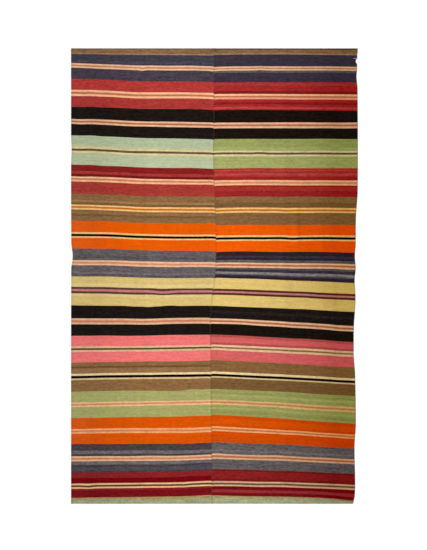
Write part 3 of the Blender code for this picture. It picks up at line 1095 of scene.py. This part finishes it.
# The hem stitches. Each turned-under end is sewn down by hand in a running stitch of thin wool thread
# close to the cloth's own colour, and only its short stitches show on the face.
HEM_STITCH_INWARD = 16 * MM
HEM_STITCH_PITCH = 14 * MM
HEM_STITCH_REACH = 2.4 * MM
HEM_STITCH_RADIUS = 0.45 * MM
HEM_STITCH_ARCH = np.array([4.3, 4.95, 5.2, 5.25, 5.2, 4.95, 4.3]) * MM
HEM_MARGIN = 14 * MM


def hem_stitches(name, seam_x, selvedge_x, runs, seed):
    """The stitches along both hems of a panel, each a little out of line and at its own slant."""
    sewn = np.random.default_rng(seed)
    count = round((PANEL_WIDTH - 2 * HEM_MARGIN) / HEM_STITCH_PITCH)
    share = np.linspace(HEM_MARGIN, PANEL_WIDTH - HEM_MARGIN, count) / PANEL_WIDTH
    share = np.tile(share, 2) + sewn.uniform(-1.5, 1.5, 2 * count) * MM / PANEL_WIDTH
    inward = HEM_STITCH_INWARD + sewn.uniform(-0.8, 0.8, 2 * count) * MM
    top_hem, bottom_hem = hem_share(runs, share)
    at_top = inward[:count] * top_hem[:count]
    at_bottom = RUG_LENGTH - inward[count:] * bottom_hem[count:]
    middle_down = np.concatenate([at_top, at_bottom])
    middle_x = seam_x(middle_down) * (1 - share) + selvedge_x(middle_down) * share
    slant = sewn.uniform(-0.25, 0.25, 2 * count)[:, None]
    over = np.linspace(-1, 1, len(HEM_STITCH_ARCH))[None, :] * HEM_STITCH_REACH
    x, down = middle_x[:, None] + over, middle_down[:, None] + over * slant
    z = HEM_STITCH_ARCH[None, :] + lift(x, down)
    return threads(name, np.stack([x, RUG_LENGTH / 2 - down, z], axis=2), HEM_STITCH_RADIUS, hem_thread)


hem_thread = plied_thread("tan_sewing_wool", "#8a7150")
left_stitches = hem_stitches("left_hem_stitches", left_of_seam_x, left_selvedge_x, LEFT_RUNS, 31)
right_stitches = hem_stitches("right_hem_stitches", right_of_seam_x, right_selvedge_x, RIGHT_RUNS, 32)
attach(left_stitches, "root")
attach(right_stitches, "root")

# The broken weft at the worn top of the right selvedge. One pale pick has pulled out of the cloth there:
# it lies over the slit and its end sticks out past the edge.
LOOSE_WEFT = np.array([
    # in from the selvedge, from the top, and height above the floor
    (26, 57.0, 1.2),
    (22, 57.4, 1.6),
    (17, 58.0, 2.6),
    (11, 58.6, 3.5),
    (5, 59.1, 3.9),
    (0, 59.3, 3.7),
    (-3, 59.2, 3.0),
    (-5.5, 58.7, 1.6),
]) * MM
LOOSE_WEFT_RADIUS = 0.9 * MM

weft_step = np.linspace(0, len(LOOSE_WEFT) - 1, 29)
weft_inward, weft_down, weft_z = through(weft_step, np.arange(len(LOOSE_WEFT)), LOOSE_WEFT.T)
weft_x = right_selvedge_x(weft_down) - weft_inward
loose_weft = threads(
    "loose_weft",
    np.stack([weft_x, RUG_LENGTH / 2 - weft_down, weft_z], axis=1)[None],
    LOOSE_WEFT_RADIUS,
    plied_thread("pale_weft_wool", "#ece0c8"),
)
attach(loose_weft, "root")

# The floor and the light of a plain studio: a pale floor, a broad lamp to the upper left, and white walls
FLOOR_SIZE = 12.0
FLOOR_COLOUR = "#fafafa"

floor_mesh = bpy.data.meshes.new("floor")
floor_mesh.from_pydata(
    [(x * FLOOR_SIZE / 2, y * FLOOR_SIZE / 2, 0) for x, y in ((-1, -1), (1, -1), (1, 1), (-1, 1))],
    [],
    [(0, 1, 2, 3)],
)
paint, paint_tree, paint_shader = new_material("matt_floor_paint", 1.0, 0.0)
paint_shader.inputs["Base Color"].default_value = (*linear(FLOOR_COLOUR), 1)
floor_mesh.materials.append(paint)
floor = bpy.data.objects.new("floor", floor_mesh)
bpy.context.scene.collection.objects.link(floor)

lamp = bpy.data.lights.new("studio_lamp", "SUN")
lamp.energy = 2.6
lamp.angle = math.radians(25)
lamp_object = bpy.data.objects.new("studio_lamp", lamp)
lamp_object.rotation_euler = (math.radians(20), math.radians(-44), 0)
bpy.context.scene.collection.objects.link(lamp_object)

world = bpy.data.worlds.new("white_walls")
world.use_nodes = True
world.node_tree.nodes["Background"].inputs["Color"].default_value = (1, 1, 1, 1)
world.node_tree.nodes["Background"].inputs["Strength"].default_value = 0.55
bpy.context.scene.world = world

# The camera looks straight down from 7.7 m, so far off that the rug shows no perspective. It is aimed a
# few mm beside the rug's middle, which puts the rug where the photo has it.
FRAME_HEIGHT = 3.2626
AIM_X = -0.0052
AIM_Y = 0.0069
LENS = 85
SENSOR = 36

camera = bpy.data.cameras.new("camera")
camera.lens = LENS
camera.sensor_width = SENSOR
camera.clip_end = 50
camera_object = bpy.data.objects.new("camera", camera)
camera_object.location = (AIM_X, AIM_Y, FRAME_HEIGHT / 2 / (SENSOR / 2 / LENS))
bpy.context.scene.collection.objects.link(camera_object)
bpy.context.scene.camera = camera_object
bpy.context.scene.view_settings.view_transform = "Standard"
